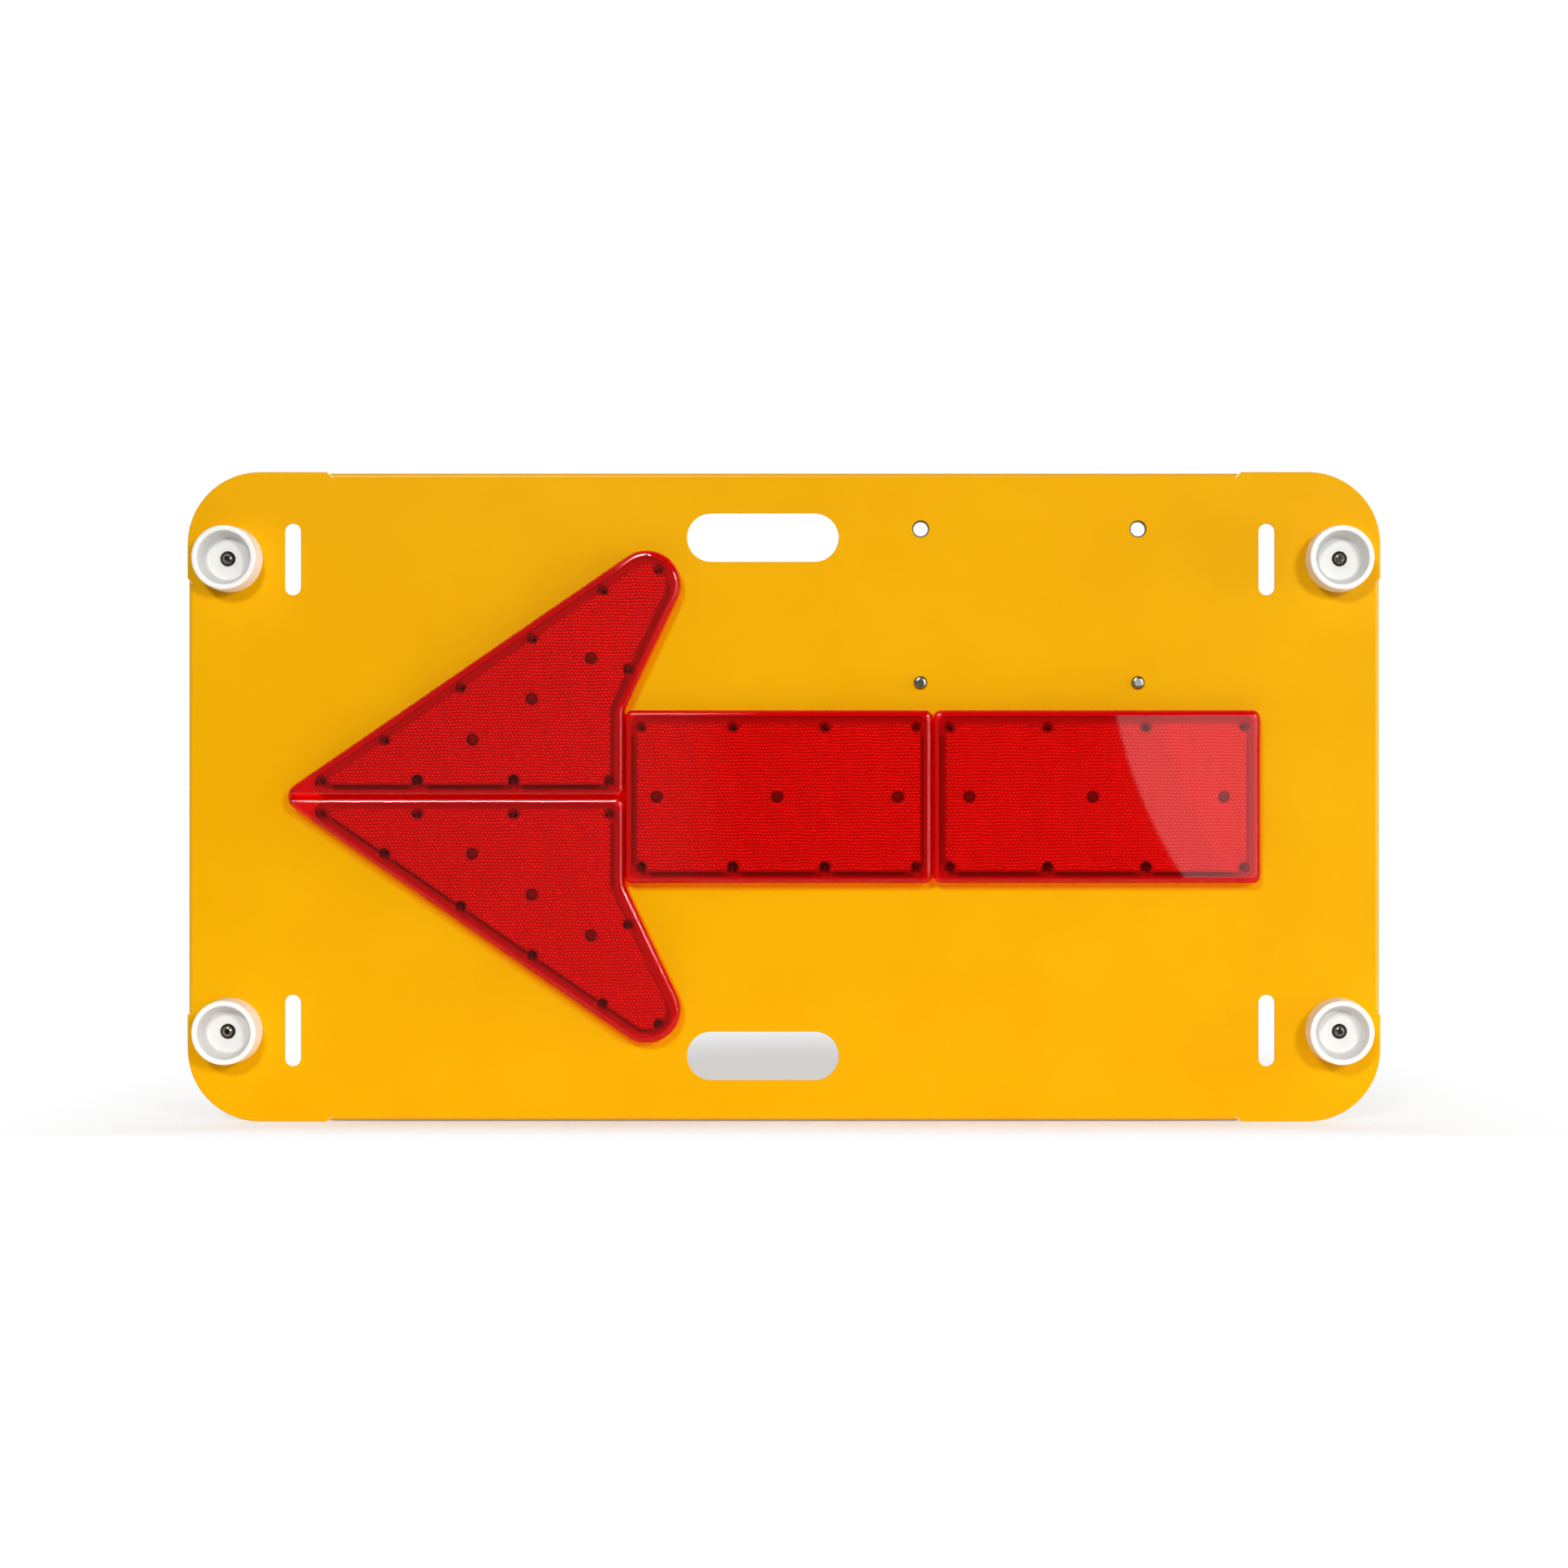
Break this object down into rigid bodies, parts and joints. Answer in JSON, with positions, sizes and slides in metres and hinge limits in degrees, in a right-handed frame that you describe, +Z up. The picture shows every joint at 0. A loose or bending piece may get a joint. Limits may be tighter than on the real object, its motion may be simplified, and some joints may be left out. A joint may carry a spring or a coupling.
{
  "type": "led arrow board",
  "caption": "Rounded sheet-metal warning board with a left-pointing arrow of red prism-lens lamps, corner cup bumpers, handholds, strap slots, hanging holes and a rear control box.",
  "frame": {"origin": "centre of the bounding box's footprint, on the plane the board stands on", "axes": "+X along the board to the viewer's right, +Z up, the lamps face -Y"},
  "size_m": [0.9, 0.0786, 0.49],
  "materials": {
    "panel_yellow": "semi-gloss powder coat",
    "bumper_white": "smooth moulded, satin",
    "black_steel": "black oxide",
    "zinc_steel": "zinc plate",
    "bright_screw": "bright plate",
    "lens_red": "polished clear moulding",
    "seal_rubber": "matte",
    "tray_grey": "moulded, light grey",
    "circuit_board": "solder resist",
    "led_body": "smoky epoxy",
    "prism_silver": "metallised prism cells",
    "lead_black": "matte sheath",
    "lead_red": "matte sheath",
    "seal_silicone": "soft matte",
    "hanger_black": "satin black powder coat",
    "box_grey": "fine moulded grain",
    "black_plastic": "moulded",
    "rocker_red": "polished",
    "cell_jacket": "printed-free jacket",
    "contact_steel": "nickel plate"
  },
  "bodies": {
    "board": {"batteries": "cell_jacket", "battery_contacts": "contact_steel", "battery_holder": "black_plastic", "box_base": "box_grey", "box_gasket": "seal_rubber", "box_nuts": "zinc_steel", "box_studs": "zinc_steel", "bumper_bolts": "black_steel", "bumper_lower_left": "bumper_white", "bumper_lower_right": "bumper_white", "bumper_nuts": "zinc_steel", "bumper_upper_left": "bumper_white", "bumper_upper_right": "bumper_white", "bumper_washers": "zinc_steel", "control_board": "circuit_board", "control_parts": "black_plastic", "far_shaft_gasket": "seal_silicone", "far_shaft_led_board": "circuit_board", "far_shaft_leds": "led_body", "far_shaft_lens": "lens_red", "far_shaft_lens_screws": "zinc_steel", "far_shaft_prism_plate": "prism_silver", "far_shaft_tray": "tray_grey", "feed_lead": "lead_black", "grommet": "seal_rubber", "hanger_nuts": "zinc_steel", "hanger_plate": "hanger_black", "hanger_screws": "bright_screw", "hinge_pin": "zinc_steel", "latch_pivot": "zinc_steel", "link_leads": "lead_red", "lower_head_gasket": "seal_silicone", "lower_head_led_board": "circuit_board", "lower_head_leds": "led_body", "lower_head_lens": "lens_red", "lower_head_lens_screws": "zinc_steel", "lower_head_prism_plate": "prism_silver", "lower_head_tray": "tray_grey", "near_shaft_gasket": "seal_silicone", "near_shaft_led_board": "circuit_board", "near_shaft_leds": "led_body", "near_shaft_lens": "lens_red", "near_shaft_lens_screws": "zinc_steel", "near_shaft_prism_plate": "prism_silver", "near_shaft_tray": "tray_grey", "panel": "panel_yellow", "switch_body": "black_plastic", "tray_screws": "zinc_steel", "upper_head_gasket": "seal_silicone", "upper_head_led_board": "circuit_board", "upper_head_leds": "led_body", "upper_head_lens": "lens_red", "upper_head_lens_screws": "zinc_steel", "upper_head_prism_plate": "prism_silver", "upper_head_tray": "tray_grey"},
    "lid": {"box_lid": "box_grey"},
    "latch": {"turn_latch": "black_plastic"},
    "rocker": {"switch_rocker": "rocker_red"}
  },
  "joints": [
    {"name": "lid_hinge", "type": "hinge", "parent": "board", "child": "lid", "pos_m": [0.159, 0.02855, 0.24], "axis": [0, 0, 1], "range_deg": [0, 110]},
    {"name": "latch_turn", "type": "hinge", "parent": "board", "child": "latch", "pos_m": [0.315, 0.03395, 0.24], "axis": [0, -1, 0], "range_deg": [0, 90]},
    {"name": "switch_rock", "type": "hinge", "parent": "board", "child": "rocker", "pos_m": [0.306, 0.01275, 0.28], "axis": [0, -1, 0], "range_deg": [0, 18]}
  ]
}
